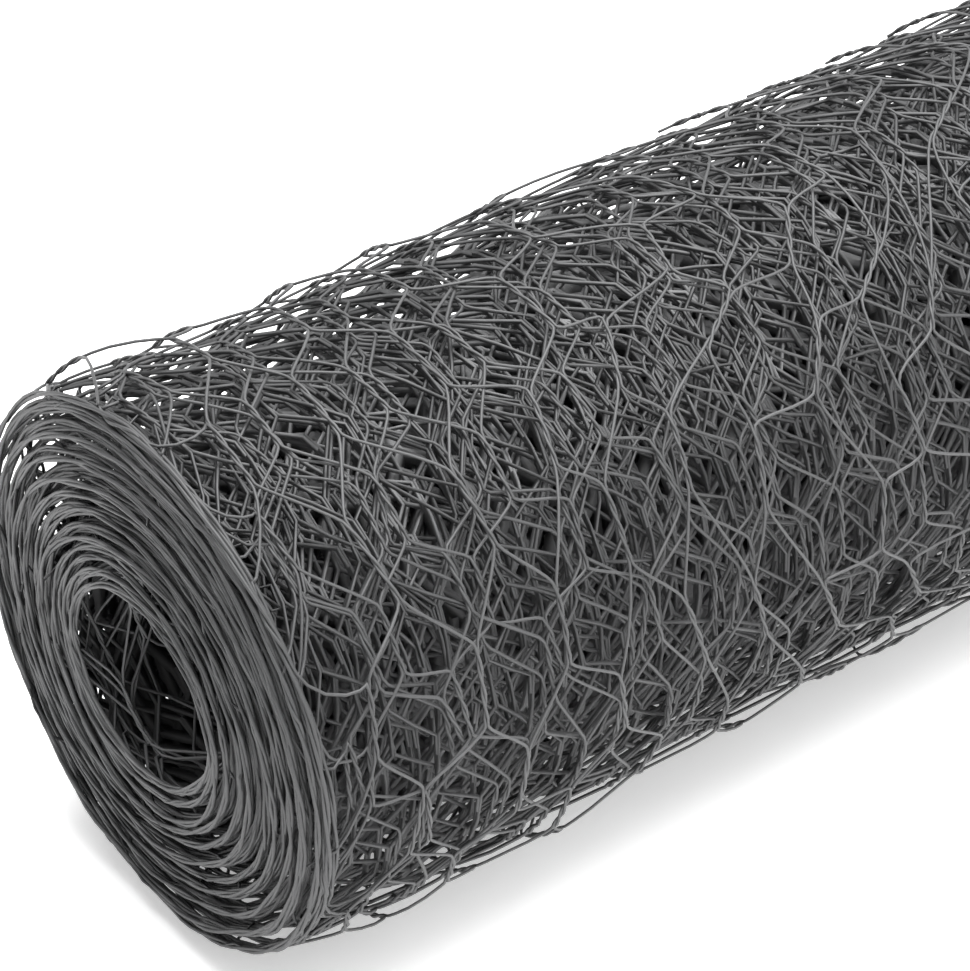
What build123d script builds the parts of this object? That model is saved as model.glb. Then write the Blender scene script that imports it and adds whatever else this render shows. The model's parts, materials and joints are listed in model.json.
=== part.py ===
from build123d import *

import os
from math import cos, pi

# Roll of hexagonal wire netting, lying on its side. One sheet of netting is wound up on itself with no core tube,
# so the roll is one turned solid with an open bore. Its axis is along X, the ground is Z = 0, and the origin is on
# the ground under the middle of the roll.

# Driving dimensions, in millimetres
netting_width = 600.0  # selvedge to selvedge, which is the length of every turn along the roll
outer_diameter = 132.0  # over the outermost turn
bore_diameter = 46.0  # inside the innermost turn
ring_count = 27  # turns that show as rings on the ends; the turns between lie flush with these

# The selvedges on the two ends
telescope = 4.0  # how far the innermost ring is pushed out past the rim, along the roll
bundle_rings = 4  # neighbouring rings that lie tightly together
bundle_setback = 1.6  # how far rings slip along the roll within a bundle

# The outside of the roll
rim_draw = 1.5  # the selvedge pulls the last few millimetres of the outside in by this much
rim_shoulder = 12.5  # length of that pulled-in stretch, half a mesh

outer_radius = outer_diameter / 2
bore_radius = bore_diameter / 2
rim_radius = outer_radius - rim_draw
ring_pitch = (rim_radius - bore_radius) / ring_count
half_width = netting_width / 2


def slip(ring):
    """How far a ring sits towards -X. Every turn keeps the netting's width, so both of its ends move alike."""
    cone = telescope * (1 / 2 - ring / (ring_count - 1))
    wave = bundle_setback / 2 * cos(2 * pi * ring / bundle_rings)
    return cone + wave


def end_steps(end):
    """Points of one end's stepped face, from the bore out to the rim: one land for each ring."""
    points = []
    for ring in range(ring_count):
        land = end * half_width - slip(ring)
        inner = bore_radius + ring * ring_pitch
        points += [(land, inner), (land, inner + ring_pitch)]
    return points


near_steps = end_steps(-1)
far_steps = end_steps(1)
near_rim, far_rim = near_steps[-1], far_steps[-1]
near_shoulder = (near_rim[0] + rim_shoulder, outer_radius)
far_shoulder = (far_rim[0] - rim_shoulder, outer_radius)

# The section stands on a plane through the roll's axis, with its own x along the roll and y out from the axis.
roll_axis = Axis((0, 0, outer_radius), (1, 0, 0))
section_plane = Plane(origin=(0, 0, outer_radius), x_dir=(1, 0, 0), z_dir=(0, -1, 0))

with BuildPart() as netting_roll:
    with BuildSketch(section_plane):
        with BuildLine():
            near_end = Polyline(*near_steps)
            TangentArc(near_shoulder, near_rim, tangent=(-1, 0))
            Line(near_shoulder, far_shoulder)
            TangentArc(far_shoulder, far_rim, tangent=(1, 0))
            far_end = Polyline(*far_steps)
            Line(near_end @ 0, far_end @ 0)
        make_face()
    revolve(axis=roll_axis)

netting_roll.part.label = "netting_roll"

os.makedirs("parts", exist_ok=True)
export_step(netting_roll.part, "parts/netting_roll.step")
print("ring pitch", round(ring_pitch, 3), "volume", round(netting_roll.part.volume))
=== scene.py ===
import json

import bpy
import numpy as np
from mathutils import Matrix, Vector


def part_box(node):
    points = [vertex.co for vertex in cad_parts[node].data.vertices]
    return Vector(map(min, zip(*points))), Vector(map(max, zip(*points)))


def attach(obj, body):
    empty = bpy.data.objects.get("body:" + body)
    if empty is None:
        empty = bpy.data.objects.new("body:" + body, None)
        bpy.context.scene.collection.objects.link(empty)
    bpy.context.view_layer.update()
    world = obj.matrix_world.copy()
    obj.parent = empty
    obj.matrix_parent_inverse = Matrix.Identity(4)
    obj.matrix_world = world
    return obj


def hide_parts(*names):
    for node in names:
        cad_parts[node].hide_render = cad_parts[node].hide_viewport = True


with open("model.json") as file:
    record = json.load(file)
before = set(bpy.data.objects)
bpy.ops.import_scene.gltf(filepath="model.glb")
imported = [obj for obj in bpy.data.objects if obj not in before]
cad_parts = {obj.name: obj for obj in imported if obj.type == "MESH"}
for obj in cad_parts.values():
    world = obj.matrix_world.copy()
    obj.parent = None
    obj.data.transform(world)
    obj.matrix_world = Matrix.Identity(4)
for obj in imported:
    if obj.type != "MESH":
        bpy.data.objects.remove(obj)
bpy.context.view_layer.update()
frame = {"record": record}
scene = bpy.context.scene
fullTurn = 2 * np.pi
metre = 1000.0           # lengths are in millimetres until they go into a mesh, unless a note says otherwise

# The wound roll. Its main sizes come from the frame. Angles go round the axis from the back (+Y)
# over the top, and turns are counted from the bore.
lowCorner, highCorner = (np.array(corner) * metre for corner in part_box("netting_roll"))
boreSizes = frame["record"]["mounts"][0]["dims"]
roll = {
    "outerRadius": (highCorner[2] - lowCorner[2]) / 2,
    "boreRadius": boreSizes["r_mm"],
    "width": boreSizes["length_mm"],
    "turns": 45,
    "telescope": 4.0,                     # the inner turns stand out this far at the near end
    "slipWander": 1.2,                    # and every turn slips this much to and fro
    "bunch": (3, 6),                      # turns in a bunch: at least the first, fewer than the second
    "bunchAngle": np.radians(150),        # where the sheet crosses from one bunch to the next
    "bunchCross": 0.4,                    # and over how much of a turn
    "bunchPull": 0.10,                    # how tightly they bunch along the body
    "bunchPullEnd": (0.30, 0.86),         # and at the ends, least and most
    "bunchStep": 0.5,                     # the turns of a bunch are stepped this far along the axis
    "gapes": (                            # where they bunch most and gaps open: angle, span, share
        (np.radians(243), 0.9, 1.0),
        (np.radians(10), 0.7, 0.38),
    ),
    "gapeReach": 27.0,                    # and how far in from the ends
    "splitTurn": 0.78,                    # at this share of the turns they part, at the ends
    "splitSoft": 0.01,
    "splitWidth": 1.8,
    "splitAngle": np.radians(-8),
    "splitSpan": 0.75,
    "rimDraw": 1.5,                       # the selvedge sits this much deeper than the body
    "rimReach": 9.0,
    "rimShare": 0.6,                      # past this share of the turns
    "swells": (                           # places where the outer turns stand out: angle and its span,
        (np.radians(54), 0.45, 12.0, 14.0, 4.5),      # distance from the near end, reach, and how far
        (np.radians(221), 0.40, 42.0, 45.0, 2.4),
    ),
    "swellTurns": (2.0, 22.0),            # all of it for the first of these turns, none past the last
    "oval": 1.3,                          # the bore isn't quite round
    "ovalPhase": 0.7,
    "ovalTurns": 4.0,
    "wander": 0.30,                       # in and out wander of each turn
    "driftOuter": 0.6,                    # how far a turn's twist columns stray from those of the next
    "nestStep": 1.7,                      # and lie to one side of them, in the outer turns
    "nestTurns": 5.0,
    "driftDeep": 12.0,                    # deeper down they sweep to and fro this far, some times in a turn
    "driftSweeps": 0.57,
    "driftShare": (0.7, 0.9),             # all of it up to the first share of the turns, none past the second
    "driftHold": 5.0,                     # the selvedges hold them this near the ends
    "driftEase": 1.2,                     # or this many times their drift, if that is further
}

# The loose outer turn
flap = {
    "endAngle": np.radians(40),           # where the sheet's outer end lies
    "skew": np.radians(26),               # and how much further it reaches round at the near end
    "skewReach": (60.0, 190.0),
    "skewTurns": 0.45,
    "lift": 0.3,                          # it has sprung open all over
    "liftRipple": 0.4,
    "edgeLift": 0.25,                     # less so at the selvedges
    "edgeReach": 25.0,
    "liftTurns": (0.7, 1.5),
    "nodeLift": 0.25,                     # its twists stand out
    "nodeTurns": (0.8, 1.1),
    "sag": 0.3,                           # and it hangs off low on the front
    "sagAngle": np.radians(226),
    "sagSpan": 0.42,
    "sagFrom": 20.0,
    "sagTurns": (0.75, 0.95),
    "sagRipple": (0.8, 0.4),              # unevenly: its mean, its spread and its limits
    "sagLimits": (0.2, 1.2),
    "warp": 4.0,                          # pulled out of shape away from both ends, the near one most
    "warpTurns": (0.25, 0.60),
    "warpReach": (80.0, 170.0),
    "warpEnds": 60.0,
    "eddies": (                           # where its meshes have turned: distance from the near end and
        (150.0, 98.0, 52.0, 0.95),        # from the outer end, reach, and turn in radians
        (228.0, 70.0, 50.0, 0.90),
        (262.0, 178.0, 50.0, 0.75),
        (345.0, 95.0, 55.0, -0.70),
        (445.0, 105.0, 55.0, 0.80),
        (180.0, 205.0, 45.0, 0.55),
    ),
    "eddyBend": 3.5,                      # and their wires bow more
}

# The netting itself: twists run round the roll, single wires cross between them
netting = {
    "wire": 0.68,                         # wire diameter
    "columns": 48,                        # column steps across the width, from selvedge to selvedge
    "rowStep": 26.3,                      # from one row of twists to the next
    "twistShare": 0.57,                   # the part of it that a twist takes
    "rowsPerTurn": 16,                    # in the outer turns the meshes of one turn lie over those below
    "nestedTurns": 5,
    "nestSpread": (0.8, 3.5),             # more closely at the near end than past the reach below
    "nestReach": (110.0, 240.0),
    "nestShift": 2.6,                     # and each turn lags this far behind the one above
    "alike": 0.7,                         # and they are shaped alike, this much
    "halfTurns": 3,                       # half turns in a twist
    "bend": 2.0,                          # softness of the bends where wires leave a twist
    "bendSteps": 0.55,                    # how much closer the points lie in these bends
    "edgeBend": (-2.5, 4.0, 8.0),         # softness of the arcs at a selvedge: leaving, arriving, reaching it
    "edgeShift": 5.0,                     # the selvedge lags behind the meshes in the outer turns
    "edgeWrap": 2.1,                      # wires go round it this many times their radius from its middle
    "sway": 0.5,                          # unevenness of the bows of the single wires
    "swayLift": 0.3,                      # of which this share is in and out
    "acrossSpread": 0.5,                  # how unevenly the twists sit across and along the sheet
    "alongSpread": 0.8,
    "tiltSpread": 0.05,
    "lengthSpread": 0.07,
    "liftSpread": 0.22,
    "warp": 1.4,                          # slow distortion of the sheet, sideways and lengthways
    "stretch": 2.8,
}

wireRadius = netting["wire"] / 2
columnStep = roll["width"] / netting["columns"]
firstRadius = roll["boreRadius"] + netting["wire"]
turnPitch = (roll["outerRadius"] - netting["wire"] - flap["lift"] - firstRadius) / roll["turns"]


def wobble(seed, *wavelengths, waves=7, spread=(0.6, 1.5)):
    # A sum of sines with wavelengths near the given ones and random phases, with a spread of about one
    dice = np.random.default_rng(seed)
    shape = (waves, len(wavelengths))
    speeds = fullTurn * dice.uniform(*spread, shape) * dice.choice([-1, 1], shape) / np.array(wavelengths)
    phases = dice.uniform(0, fullTurn, waves)

    def value(*places):
        sines = [np.sin(sum(s * p for s, p in zip(speed, places)) + phase)
                 for speed, phase in zip(speeds, phases)]
        return sum(sines) * np.sqrt(2 / waves)
    return value


def ramp(value, start, end):
    # Smooth step: 0 before start, 1 after end, and t t (3 - 2 t) between
    t = np.clip((value - start) / (end - start), 0, 1)
    return t * t * (3 - 2 * t)


def zigzag(value):
    # Triangle wave: 1/2 at whole numbers, -1/2 halfway between them
    return np.abs(2 * (value % 1) - 1) - 0.5


def bump(angle, centre, span):
    # 1 at the centre angle, falling off like a bell of the given span in radians
    return np.exp((np.cos(angle - centre) - 1) / span ** 2)


# Random waves: a seed, and wavelengths in turns, or across and along the sheet in millimetres
slipWobble = wobble(11, 2.0)                  # turns
wanderWobble = wobble(12, 75.0)               # along
liftWobble = wobble(14, 60.0, 90.0)           # across, along
warpWobble = wobble(15, 150.0, 110.0)
stretchWobble = wobble(16, 130.0, 160.0)
driftWobble = wobble(17, 1.2, 500.0)          # turns, across
nestWobble = wobble(18, 1.4, 300.0)
flapWobble = wobble(19, 110.0, 80.0)          # across, along


def alongAt(turn):
    # Length along a spiral of steady pitch: 2 pi (a u + p u u / 2) after u turns
    return fullTurn * (firstRadius * turn + turnPitch * turn ** 2 / 2)


def turnAt(along):
    # The same, solved for the turn
    return (np.sqrt(firstRadius ** 2 + turnPitch * along / np.pi) - firstRadius) / turnPitch


# Bunches are counted off from the outer end: the turns where one gives way to the next, and their middles
bunchDice = np.random.default_rng(13)
bunchTurns = np.cumsum(bunchDice.integers(*roll["bunch"], roll["turns"] // roll["bunch"][0]))
lastEdge = roll["turns"] - (roll["bunchAngle"] - flap["endAngle"]) / fullTurn
bunchEdges = lastEdge - np.concatenate([bunchTurns[bunchTurns < roll["turns"]][::-1], [0]])
bunchCentres = np.concatenate([[bunchEdges[0] / 2], (bunchEdges[1:] + bunchEdges[:-1]) / 2,
                               [(bunchEdges[-1] + roll["turns"]) / 2]])
print("roll of", roll["turns"], "turns in", len(bunchCentres), "bunches")


def bunchCentre(turn):
    # The middle turn of the bunch that a turn belongs to, with a smooth step from each bunch to the next
    centre = bunchCentres[0]
    half = roll["bunchCross"] / 2
    for edge, step in zip(bunchEdges, np.diff(bunchCentres)):
        centre = centre + step * ramp(turn, edge - half, edge + half)
    return centre


def onRoll(across, along, lift):
    # Winds a point of the flat sheet onto the roll: the length along the sheet gives the turn and the angle.
    # The radius grows by a pitch each turn, drawn towards the middle turn of its bunch, plus the lift.
    turn = turnAt(along)
    left = roll["turns"] - turn
    share = turn / roll["turns"]
    fromNear = np.maximum(across + roll["width"] / 2, 0)
    fromEnd = np.maximum(roll["width"] / 2 - np.abs(across), 0)
    skew = (1 - ramp(fromNear, *flap["skewReach"])) * (1 - ramp(left, 0, flap["skewTurns"]))
    angle = flap["endAngle"] + fullTurn * left - flap["skew"] * skew

    # Along the axis the turns telescope, slip and step, and between the ends their columns drift
    toCentre = bunchCentre(turn) - turn
    deep = 1 - ramp(share, *roll["driftShare"])
    drift = roll["driftOuter"] * driftWobble(turn, across)
    drift = drift + roll["driftDeep"] * deep * zigzag(roll["driftSweeps"] * turn)
    drift = drift + roll["nestStep"] * np.minimum(left, roll["nestTurns"])
    hold = np.maximum(roll["driftHold"], roll["driftEase"] * np.abs(drift))
    slip = roll["telescope"] * (0.5 - share) + roll["slipWander"] * slipWobble(turn)
    slip = slip + roll["bunchStep"] * toCentre
    slip = slip + drift * (1 - np.exp(-fromEnd / hold))

    # Out from the axis they bunch, gape and part at the ends, follow the oval bore, and draw in at the rims
    atEnds = np.exp(-fromEnd / roll["gapeReach"])
    gape = sum(amount * bump(angle, centre, span) for centre, span, amount in roll["gapes"])
    least, most = roll["bunchPullEnd"]
    pull = roll["bunchPull"] + (least + (most - least) * gape - roll["bunchPull"]) * atEnds
    radius = firstRadius + turnPitch * (turn + pull * toCentre) + lift
    radius = radius + roll["wander"] * wanderWobble(along)
    past = share - roll["splitTurn"]
    parted = ramp(past, -roll["splitSoft"], roll["splitSoft"])
    parted = parted - np.maximum(past, 0) / (1 - roll["splitTurn"])
    parted = parted * bump(angle, roll["splitAngle"], roll["splitSpan"]) * atEnds
    radius = radius + roll["splitWidth"] * parted
    oval = roll["oval"] * np.cos(2 * angle + roll["ovalPhase"]) * np.exp(-turn / roll["ovalTurns"])
    drawn = roll["rimDraw"] * ramp(share, roll["rimShare"], 1) * np.exp(-fromEnd / roll["rimReach"])
    radius = radius + oval - drawn

    # The outer turns swell at two places, and the last one is loose and sags
    swell = sum(amount * bump(angle, centre, span) * np.exp(-((fromNear - place) / reach) ** 2)
                for centre, span, place, reach, amount in roll["swells"])
    radius = radius + swell * (1 - ramp(left, *roll["swellTurns"]))
    ripple = liftWobble(across, along)
    loose = flap["edgeLift"] + (1 - flap["edgeLift"]) * ramp(fromEnd, 0, flap["edgeReach"])
    loose = (1 - ramp(left, *flap["liftTurns"])) * loose
    radius = radius + loose * np.maximum(flap["lift"] + flap["liftRipple"] * ripple, 0)
    mean, spread = flap["sagRipple"]
    sag = flap["sag"] * bump(angle, flap["sagAngle"], flap["sagSpan"]) * (1 - ramp(left, *flap["sagTurns"]))
    sag = sag * np.clip(mean + spread * ripple, *flap["sagLimits"]) * ramp(fromEnd, 0, flap["sagFrom"])
    radius = radius + sag
    height = roll["outerRadius"] + radius * np.sin(angle)
    return np.stack([across - slip, radius * np.cos(angle), np.maximum(height, wireRadius)], -1)


class Signal:
    # Wraps a shader socket, so that sums and products of signals and numbers add Math nodes
    def __init__(self, tree, socket):
        self.tree = tree
        self.socket = socket

    def node(self, kind, settings=None, out=0, **sockets):
        # Any other node: its type, its settings, and the values or links of its sockets,
        # by name or, where several share one, by number as in0, in1 and so on
        made = self.tree.nodes.new(kind)
        for key, value in (settings or {}).items():
            setattr(made, key, value)
        for key, value in sockets.items():
            slot = made.inputs[int(key[2:]) if key.startswith("in") else key]
            if isinstance(value, Signal):
                self.tree.links.new(value.socket, slot)
            else:
                slot.default_value = value
        return Signal(self.tree, made.outputs[out])

    def maths(self, operation, first, second):
        return self.node("ShaderNodeMath", {"operation": operation}, in0=first, in1=second)

    def __add__(self, other):
        return self.maths("ADD", self, other)

    def __radd__(self, other):
        return self.maths("ADD", other, self)

    def __sub__(self, other):
        return self.maths("SUBTRACT", self, other)

    def __rsub__(self, other):
        return self.maths("SUBTRACT", other, self)

    def __mul__(self, other):
        return self.maths("MULTIPLY", self, other)

    def __rmul__(self, other):
        return self.maths("MULTIPLY", other, self)


def newMaterial(name):
    material = bpy.data.materials.new(name)
    material.use_nodes = True
    shader = material.node_tree.nodes["Principled BSDF"]
    places = Signal(material.node_tree, None).node("ShaderNodeTexCoord", out=3)      # Object coordinates
    return material, shader, places


def plug(signal, socket):
    signal.tree.links.new(signal.socket, socket)


def mapped(signal, start, end):
    # 0 at the start value and 1 at the end value, held at those past them
    return signal.node("ShaderNodeMapRange", in0=signal, in1=start, in2=end, in3=0.0, in4=1.0)


def mixed(share, first, second):
    # From the first colour, at share 0, to the second, at share 1
    return share.node("ShaderNodeMix", {"data_type": "RGBA"}, out=2, in0=share, in6=first, in7=second)


# Lengths here are in metres: From is a distance from the axis, and Reach one from the middle of the roll,
# over which the coating's colour goes over to painted shade and painted light
coatedWire = {
    "dull": (0.065, 0.0655, 0.067, 1),
    "clean": (0.122, 0.123, 0.125, 1),
    "below": (0.070, 0.0705, 0.072, 1),   # painted shade, darker just below the outer turn
    "belowFrom": (0.0652, 0.0620),
    "buried": (0.175, 0.176, 0.179, 1),   # painted light, lighter deep down among the turns
    "buriedFrom": (0.0585, 0.0520),
    "endReach": (0.297, 0.270),           # neither shows nearer the ends than this
    "endShare": 0.9,                      # painted shade: this share of the darker colour all over the ends
    "hidden": (0.10, 0.1005, 0.102, 1),   # painted shade, darker again round the bore
    "hiddenFrom": (0.042, 0.034),
    "hiddenReach": (0.298, 0.290),
    "bore": (0.24, 0.241, 0.245, 1),      # painted light, lightest on the bore's own turns
    "boreFrom": (0.0285, 0.0265),
    "boreReach": (0.303, 0.295),
    "patch": 45.0,                        # patches per metre
    "patchDetail": 3.0,
    "patchRoughness": 0.6,
    "grain": 900.0,
    "grainDetail": 2.0,
    "patchShare": 1.1,                    # how much the patches and the grain clean it, less a drop
    "grainShare": 0.5,
    "cleanDrop": 0.3,
    "roughness": 0.40,
    "roughnessGrain": 0.25,
    "metallic": 0.15,
    "bump": 0.25,
    "bumpHeight": 0.0001,
}


def coatedWireMaterial():
    # Grey coating, cleaner and duller by patches, with a fine grain in its gloss. How far a wire lies from
    # the axis and from the middle of the roll decides where painted shade and painted light go over it.
    material, shader, places = newMaterial("coated_wire")
    patch = places.node("ShaderNodeTexNoise", Vector=places, Scale=coatedWire["patch"],
                        Detail=coatedWire["patchDetail"], Roughness=coatedWire["patchRoughness"])
    grain = places.node("ShaderNodeTexNoise", Vector=places, Scale=coatedWire["grain"],
                        Detail=coatedWire["grainDetail"])
    centred = places.node("ShaderNodeVectorMath", {"operation": "SUBTRACT"}, in0=places,
                          in1=(0, 0, roll["outerRadius"] / metre))
    sideways = places.node("ShaderNodeVectorMath", {"operation": "MULTIPLY"}, in0=centred, in1=(0, 1, 1))
    radius = places.node("ShaderNodeVectorMath", {"operation": "LENGTH"}, out=1, in0=sideways)
    aside = places.node("ShaderNodeSeparateXYZ", Vector=centred)
    aside = places.node("ShaderNodeMath", {"operation": "ABSOLUTE"}, in0=aside)

    clean = patch * coatedWire["patchShare"] + grain * coatedWire["grainShare"] - coatedWire["cleanDrop"]
    # Painted shade under the outer turn, at the ends and round the bore; painted light deep down and on the
    # bore's own turns
    middle = mapped(aside, *coatedWire["endReach"])
    below = mapped(radius, *coatedWire["belowFrom"]) * middle + (1 - middle) * coatedWire["endShare"]
    buried = mapped(radius, *coatedWire["buriedFrom"]) * middle
    hidden = mapped(radius, *coatedWire["hiddenFrom"]) * mapped(aside, *coatedWire["hiddenReach"])
    bore = mapped(radius, *coatedWire["boreFrom"]) * mapped(aside, *coatedWire["boreReach"])
    colour = mixed(clean, coatedWire["dull"], coatedWire["clean"])
    colour = mixed(below, colour, coatedWire["below"])
    colour = mixed(buried, colour, coatedWire["buried"])
    colour = mixed(hidden, colour, coatedWire["hidden"])
    colour = mixed(bore, colour, coatedWire["bore"])
    plug(colour, shader.inputs["Base Color"])
    plug(grain * coatedWire["roughnessGrain"] + coatedWire["roughness"], shader.inputs["Roughness"])
    shader.inputs["Metallic"].default_value = coatedWire["metallic"]
    bumps = places.node("ShaderNodeBump", Height=grain, Strength=coatedWire["bump"],
                        Distance=coatedWire["bumpHeight"])
    plug(bumps, shader.inputs["Normal"])
    return material


wireMaterial = coatedWireMaterial()
print("coating ready")


def tubes(name, paths, radius, sides):
    # A round profile carried along each path: rings stand square to the path, turned so that their first
    # point faces away from the roll's axis, and flat caps close both ends. The rings are as wide on average
    # as the wire, whose radius is one number or one for each point.
    wires, points = paths.shape[:2]
    tangent = np.gradient(paths, axis=1)
    tangent /= np.linalg.norm(tangent, axis=2, keepdims=True)
    outward = paths - [0, 0, roll["outerRadius"]]
    outward[..., 0] = 0
    sideways = np.cross(tangent, outward)
    sideways /= np.linalg.norm(sideways, axis=2, keepdims=True)
    outward = np.cross(sideways, tangent)
    turn = fullTurn * np.arange(sides) / sides
    ring = np.cos(turn)[:, None] * outward[:, :, None] + np.sin(turn)[:, None] * sideways[:, :, None]
    ringRadius = radius * np.pi / (sides * np.sin(np.pi / sides)) * np.ones((wires, points))
    corners = (paths[:, :, None] + ringRadius[..., None, None] * ring).reshape(-1, 3) / metre

    index = np.arange(wires * points * sides).reshape(wires, points, sides)
    beside = np.roll(index, -1, axis=2)
    quads = np.stack([index[:, :-1], beside[:, :-1], beside[:, 1:], index[:, 1:]], -1).reshape(-1, 4)
    caps = np.concatenate([index[:, 0, ::-1], index[:, -1]])
    loops = np.concatenate([quads.ravel(), caps.ravel()])
    sizes = np.concatenate([np.full(len(quads), 4), np.full(len(caps), sides)])

    mesh = bpy.data.meshes.new(name)
    mesh.vertices.add(len(corners))
    mesh.vertices.foreach_set("co", corners.ravel())
    mesh.loops.add(len(loops))
    mesh.loops.foreach_set("vertex_index", loops)
    mesh.polygons.add(len(sizes))
    mesh.polygons.foreach_set("loop_start", np.concatenate([[0], np.cumsum(sizes)[:-1]]))
    mesh.polygons.foreach_set("use_smooth", np.ones(len(sizes), bool))
    mesh.update(calc_edges=True)
    mesh.validate()
    piece = bpy.data.objects.new(name, mesh)
    scene.collection.objects.link(piece)
    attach(piece, "root")
    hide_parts("netting_roll")
    mesh.materials.append(wireMaterial)
    print(name, "triangles", 2 * len(quads) + len(caps) * (sides - 2))


# Rows of twists along the sheet: evenly spaced below, and evenly spread round each of the outer turns
nestedFrom = roll["turns"] - netting["nestedTurns"]
evenCount = int(alongAt(nestedFrom) / netting["rowStep"])
evenRows = (np.arange(evenCount) + 0.5) * alongAt(nestedFrom) / evenCount
nestedCount = netting["nestedTurns"] * netting["rowsPerTurn"]
nestedRows = alongAt(nestedFrom + (np.arange(nestedCount + 1) + 0.5) / netting["rowsPerTurn"])
rowAlong = np.concatenate([evenRows, nestedRows])
rowGap = np.gradient(rowAlong)
lastRow = len(rowAlong) - 2      # the row after it is only where the cut wires point
print("sheet", round(rowAlong[lastRow]), "mm long,", lastRow + 1, "rows of twists")

# Random places of the twists on the flat sheet
dice = np.random.default_rng(5)
shape = (len(rowAlong), netting["columns"] + 1)
twin = np.arange(shape[0])
twin = np.where(twin < evenCount, twin, evenCount + (twin - evenCount) % netting["rowsPerTurn"])


def uneven(*more):
    # Normal draws for every twist. Those of the nested turns are mostly the same as in the first of them.
    own = dice.standard_normal((*shape, *more))
    return own + netting["alike"] * (own[twin] - own)


rowPlace = rowAlong[:, None] + np.zeros(shape)
columnPlace = np.arange(shape[1])[None] * columnStep - roll["width"] / 2 + np.zeros(shape)
atEdge = (np.arange(shape[1]) % netting["columns"] == 0)[None] & np.ones(shape, bool)
inside = 1.0 - atEdge
rowTurn = turnAt(rowPlace)
rowLeft = roll["turns"] - rowTurn
fromNear = columnPlace + roll["width"] / 2
fromEnds = roll["width"] / 2 - np.abs(columnPlace)
pulled = flap["warp"] * (1 - ramp(rowLeft, *flap["warpTurns"])) * ramp(fromNear, *flap["warpReach"])
pulled = pulled * ramp(fromEnds, 0, flap["warpEnds"])


def warped(across, along):
    # How far the sheet is pulled sideways at a place
    return netting["warp"] * warpWobble(across, along) + pulled * flapWobble(across, along)


def eddied(across, along):
    # Turns the sheet about each eddy's centre, by an angle that falls off like a bell away from it
    for nearPlace, outerPlace, reach, angle in flap["eddies"]:
        x = across + roll["width"] / 2 - nearPlace
        y = along - rowAlong[lastRow] + outerPlace
        spin = angle * np.exp(-(x * x + y * y) / reach ** 2)
        across = across + x * (np.cos(spin) - 1) + y * np.sin(spin)
        along = along + y * (np.cos(spin) - 1) - x * np.sin(spin)
    return across, along


slopeStep = 2.0          # slopes are taken between places this far to both sides
slope = warped(columnPlace, rowPlace + slopeStep) - warped(columnPlace, rowPlace - slopeStep)
slope = slope / (2 * slopeStep)
twistAcross = columnPlace + inside * (netting["acrossSpread"] * uneven() + warped(columnPlace, rowPlace))
nested = ramp(rowTurn, nestedFrom - 1, nestedFrom)
nestLeast, nestMost = netting["nestSpread"]
nestSpread = nestLeast + (nestMost - nestLeast) * ramp(fromNear, *netting["nestReach"])
twistAlong = rowPlace + netting["alongSpread"] * uneven()
twistAlong = twistAlong + netting["stretch"] * stretchWobble(columnPlace, rowPlace)
twistAlong = twistAlong + nested * nestSpread * nestWobble(rowTurn, columnPlace)
twistAlong = twistAlong - nested * (atEdge * netting["edgeShift"] + netting["nestShift"] * rowLeft)
twistTilt = inside * (netting["tiltSpread"] * uneven() + np.arctan(slope))
before, after = eddied(twistAcross, twistAlong - slopeStep), eddied(twistAcross, twistAlong + slopeStep)
twistTurn = np.arctan2(after[0] - before[0], after[1] - before[1])
twistTilt = twistTilt + twistTurn
twistAcross, twistAlong = eddied(twistAcross, twistAlong)
twistBend = netting["bend"] + flap["eddyBend"] * np.abs(twistTurn)
crossSway = netting["sway"] * uneven(2, 3) * [1, 1, netting["swayLift"]]
twistHalf = netting["twistShare"] / 2 * rowGap[:, None] * (1 + netting["lengthSpread"] * uneven())
twistLift = inside * netting["liftSpread"] * dice.standard_normal(shape)
nodeLift = flap["nodeLift"] * inside * np.abs(dice.standard_normal(shape))
twistLift = twistLift + nodeLift * (1 - ramp(rowLeft, *flap["nodeTurns"]))
twistRadius = np.where(atEdge, netting["edgeWrap"] * wireRadius, wireRadius)
twistSpin = np.where(atEdge, np.pi, netting["halfTurns"] / 2 * np.pi)


def halfTwist(row, column, side, share):
    # From the middle of a twist (share 0) to its end (share 1 or -1) the wire turns round the twist's axis,
    # and reaches the end on the given side: 0 is right, pi is left
    pick = (row[..., None], column[..., None])
    angle = side[..., None] - np.where(share < 0, -1, 1) * twistSpin[pick] * (1 - np.abs(share))
    runs = twistHalf[pick] * share
    off = twistRadius[pick] * np.cos(angle)
    tilt = twistTilt[pick]
    across = twistAcross[pick] + runs * np.sin(tilt) + off * np.cos(tilt)
    along = twistAlong[pick] + runs * np.cos(tilt) - off * np.sin(tilt)
    return np.stack([across, along, twistLift[pick] + twistRadius[pick] * np.sin(angle)], -1)


def twistAxis(row, column):
    # The direction of a twist on the sheet: the sine and cosine of its tilt
    tilt = twistTilt[row, column]
    return np.stack([np.sin(tilt), np.cos(tilt), np.zeros_like(tilt)], -1)


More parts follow.
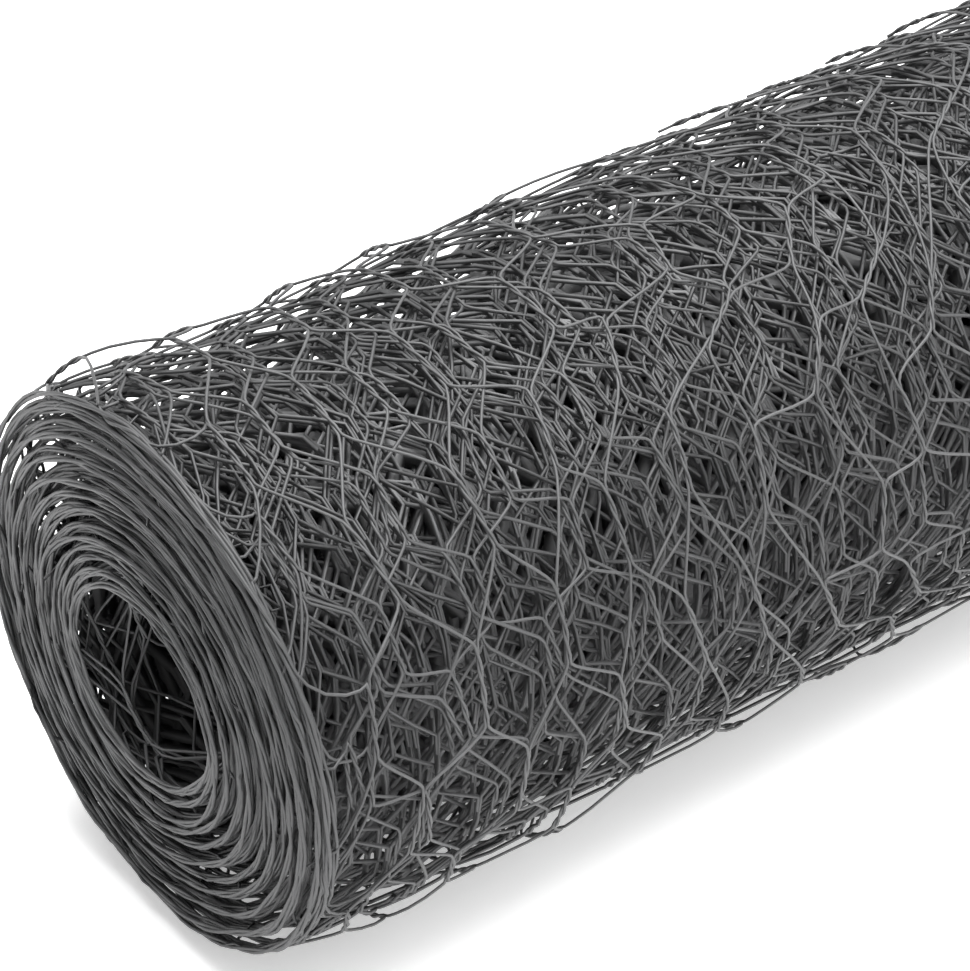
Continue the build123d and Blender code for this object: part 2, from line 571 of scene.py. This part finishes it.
def strands(rows, twistSteps, crossSteps, cut=None):
    # Wires between each row of twists and the next, one in each gap between columns, in sheet places:
    # half a twist, a crossing that is a cubic Bezier curve, and half of the next twist.
    # A cut gives the share of the crossing after which each wire ends.
    row = rows[:, None] + np.zeros((1, netting["columns"]), int)
    gap = np.arange(netting["columns"])[None] + np.zeros_like(row)
    leftward = (gap + row) % 2
    fromColumn, toColumn = gap + leftward, gap + 1 - leftward
    side = np.pi * leftward
    leave = halfTwist(row, fromColumn, side, np.linspace(0, 1, twistSteps + 1))
    arrive = halfTwist(row + 1, toColumn, np.pi - side, np.linspace(-1, 0, twistSteps + 1))
    edgeGap = ((gap == 0) | (gap == netting["columns"] - 1))[..., None]
    leaves, arrives, reaches = netting["edgeBend"]
    leaveBend = np.where(edgeGap, leaves, twistBend[row, fromColumn][..., None])
    arriveBend = np.where(edgeGap, arrives, twistBend[row + 1, toColumn][..., None])
    arriveBend = np.where(atEdge[row + 1, toColumn][..., None], reaches, arriveBend)
    leaveHandle = leaveBend * twistAxis(row, fromColumn) + crossSway[row, gap, 0]
    arriveHandle = arriveBend * twistAxis(row + 1, toColumn) + crossSway[row, gap, 1]
    first, last = leave[..., -1, :], arrive[..., 0, :]
    t = np.linspace(0, 1, crossSteps + 1)[1:]
    t = t - netting["bendSteps"] * np.sin(fullTurn * t) / fullTurn
    if cut is not None:
        t = cut[..., None] * t
    weights = [(1 - t) ** 3, 3 * t * (1 - t) ** 2, 3 * t * t * (1 - t), t ** 3]
    handles = [first, first + leaveHandle, last - arriveHandle, last]
    crossing = sum(weight[..., None] * handle[..., None, :] for weight, handle in zip(weights, handles))
    if cut is not None:
        return np.concatenate([leave, crossing], 2)
    return np.concatenate([leave, crossing, arrive[..., 1:, :]], 2)


def wiresThrough(rows, twistSteps, crossSteps):
    # Follows every wire through its twists: it crosses to the next gap at each row,
    # and turns back at a selvedge
    parts = strands(rows, twistSteps, crossSteps)
    count = netting["columns"]
    unfolded = (2 * np.arange(count)[:, None] + rows[None]) % (2 * count)
    gap = np.minimum(unfolded, 2 * count - 1 - unfolded)
    paths = parts[np.arange(len(rows))[None], gap]
    paths = np.concatenate([paths[:, :, :-1].reshape(count, -1, 3), paths[:, -1, -1:]], 1)
    return onRoll(paths[..., 0], paths[..., 1], paths[..., 2])


# Stretches of the sheet, from the bore outwards: the first turn, the steps in half a twist and in a crossing,
# and the sides of a wire. Where it is hidden it is drawn thicker, to make up for the steps left out there,
# and it grows to that over distances from the ends.
stretches = {
    "netting_bore_turns": {"first": 0.0, "steps": (3, 3), "sides": 4},
    "netting_inner_turns": {"first": 5.0, "steps": (1, 1), "sides": 3, "thicker": 4.8, "grows": (2.0, 13.0)},
    "netting_core_turns": {"first": 22.0, "steps": (1, 1), "sides": 3, "thicker": 1.7, "grows": (2.0, 14.0)},
    "netting_middle_turns": {"first": 32.5, "steps": (1, 2), "sides": 3, "thicker": 1.35,
                             "grows": (2.0, 12.0)},
    "netting_under_turns": {"first": 41.0, "steps": (4, 4), "sides": 4, "thicker": 1.1, "grows": (4.0, 24.0)},
    "netting_outer_turns": {"first": 43.5, "steps": (5, 7), "sides": 5},
}
boreClear = (4.0, 13.0)          # and over these from the bore
starts = [int(np.searchsorted(rowTurn[:, 0], stretch["first"])) for stretch in stretches.values()]
for (name, stretch), start, stop in zip(stretches.items(), starts, [*starts[1:], lastRow]):
    paths = wiresThrough(np.arange(start, stop), *stretch["steps"])
    radius = wireRadius
    if "thicker" in stretch:
        fromAxis = np.hypot(paths[..., 1], paths[..., 2] - roll["outerRadius"])
        hidden = ramp(roll["width"] / 2 - np.abs(paths[..., 0]), *stretch["grows"])
        hidden = hidden * ramp(fromAxis - roll["boreRadius"], *boreClear)
        radius = wireRadius * (1 + (stretch["thicker"] - 1) * hidden)
    tubes(name, paths, radius, stretch["sides"])

# The sheet's outer end: wires snipped off a little past their last twist
snips = {
    "shortest": 0.10,            # shares of a crossing
    "longest": 0.32,
    "steps": (5, 3),
    "sides": 5,
}
cuts = dice.uniform(snips["shortest"], snips["longest"], (1, netting["columns"]))
stubs = strands(np.array([lastRow]), *snips["steps"], cuts)[0]
stubPaths = onRoll(stubs[..., 0], stubs[..., 1], stubs[..., 2])
tubes("netting_cut_ends", stubPaths, wireRadius, snips["sides"])

# The selvedges: two strands laid round each other along both edges of the sheet
selvedge = {
    "strand": 0.84,
    "lay": 32.0,                 # length of one full twist of the two strands
    "steps": 8,                  # points in each lay
    "sides": 5,
    "past": netting["rowStep"] / 3,      # how far it runs on after the last row of twists
    "wander": (0.30, 60.0),      # across the sheet, and its wavelength
    "ripple": (0.10, 45.0),      # in and out, and its wavelength
}
for edgeName, edge, seeds in (("selvedge_near", -1, (21, 26)), ("selvedge_far", 1, (22, 27))):
    along = np.arange(0, rowAlong[lastRow] + selvedge["past"], selvedge["lay"] / selvedge["steps"])
    spin = fullTurn * along / selvedge["lay"] + np.array([[0], [np.pi]])
    wander, wanderWave = selvedge["wander"]
    ripple, rippleWave = selvedge["ripple"]
    across = edge * roll["width"] / 2 + wander * wobble(seeds[0], wanderWave)(along)
    across = across + selvedge["strand"] / 2 * np.cos(spin)
    lift = ripple * wobble(seeds[1], rippleWave)(along) + selvedge["strand"] / 2 * np.sin(spin)
    edgePaths = onRoll(across, along + np.zeros_like(spin), lift)
    tubes(edgeName, edgePaths, selvedge["strand"] / 2, selvedge["sides"])

# Floor and light, in metres
studio = {
    "floor": (0.9, 0.9, 0.9, 1),
    "mottle": (0.93, 0.93, 0.93, 1),
    "mottleScale": 3.0,
    "mottleDetail": 2.0,
    "floorRoughness": 0.9,
    "glow": 0.40,                # the floor glows in its own colour, painted light that lifts the roll's shadow on it
    "reach": 6.0,
    "world": 0.54,
    "aim": (-0.1, 0, 0.05),      # where the softboxes point
    "softboxes": (               # name, place, size and power
        ("key_light", (0.2, -1.5, 1.8), 1.8, 22),
        ("top_light", (0.25, 0.1, 2.2), 2.2, 118),
    ),
}


def floorMaterial():
    # Pale and matt, faintly mottled, and glowing in its own colour, painted light that lifts the shadows on
    # it
    material, shader, places = newMaterial("pale_floor")
    mottle = places.node("ShaderNodeTexNoise", Vector=places, Scale=studio["mottleScale"],
                         Detail=studio["mottleDetail"])
    tone = mixed(mottle, studio["floor"], studio["mottle"])
    plug(tone, shader.inputs["Base Color"])
    shader.inputs["Roughness"].default_value = studio["floorRoughness"]
    # painted light: the floor's own glow lightens the roll's shadow
    plug(tone, shader.inputs["Emission Color"])
    shader.inputs["Emission Strength"].default_value = studio["glow"]
    return material


floorMesh = bpy.data.meshes.new("floor")
reach = studio["reach"]
floorCorners = [(-reach, -reach, 0), (reach, -reach, 0), (reach, reach, 0), (-reach, reach, 0)]
floorMesh.from_pydata(floorCorners, [], [(0, 1, 2, 3)])
floorMesh.materials.append(floorMaterial())
floor = bpy.data.objects.new("floor", floorMesh)
scene.collection.objects.link(floor)

world = bpy.data.worlds.new("studio")
world.use_nodes = True
world.node_tree.nodes["Background"].inputs["Color"].default_value = (1, 1, 1, 1)
world.node_tree.nodes["Background"].inputs["Strength"].default_value = studio["world"]
scene.world = world
scene.view_settings.view_transform = "Standard"

for lightName, place, size, power in studio["softboxes"]:
    light = bpy.data.lights.new(lightName, "AREA")
    light.shape = "SQUARE"
    light.size = size
    light.energy = power
    lamp = bpy.data.objects.new(lightName, light)
    lamp.location = place
    lamp.rotation_euler = (Vector(studio["aim"]) - Vector(place)).to_track_quat("-Z", "Y").to_euler()
    scene.collection.objects.link(lamp)
print("floor and", len(studio["softboxes"]), "softboxes")

# Camera at the photo's viewing angle
view = {
    "azimuth": np.radians(-38),
    "elevation": np.radians(37),
    "focal": 3900.0,             # in pixels of the image
    "rimPixel": (148.0, 685.0),  # where the near rim's centre lies in the image
    "rimDepth": 827.5,           # and how far from the camera
    "imageSize": (970, 971),
    "sensor": 36.0,
}


def placeCamera():
    # The near rim's centre is put at its pixel and depth by moving the camera square to its view
    azimuth, elevation = view["azimuth"], view["elevation"]
    level = np.array([np.sin(azimuth), -np.cos(azimuth), 0])
    back = np.cos(elevation) * level + np.array([0, 0, np.sin(elevation)])
    right = np.array([np.cos(azimuth), np.sin(azimuth), 0])
    up = np.cross(back, right)
    sideways = (view["rimPixel"][0] - view["imageSize"][0] / 2) / view["focal"] * view["rimDepth"]
    upward = (view["imageSize"][1] / 2 - view["rimPixel"][1]) / view["focal"] * view["rimDepth"]
    rim = np.array([-roll["width"] / 2, 0, roll["outerRadius"]])
    eye = (rim + view["rimDepth"] * back - sideways * right - upward * up) / metre
    data = bpy.data.cameras.new("camera")
    data.sensor_fit = "VERTICAL"
    data.sensor_height = view["sensor"]
    data.lens = view["focal"] * view["sensor"] / view["imageSize"][1]
    camera = bpy.data.objects.new("camera", data)
    turned = Matrix((right, up, back)).transposed().to_4x4()
    camera.matrix_world = Matrix.Translation(eye) @ turned
    scene.collection.objects.link(camera)
    scene.camera = camera
    print("camera", round(view["rimDepth"]), "mm from the near rim")


placeCamera()
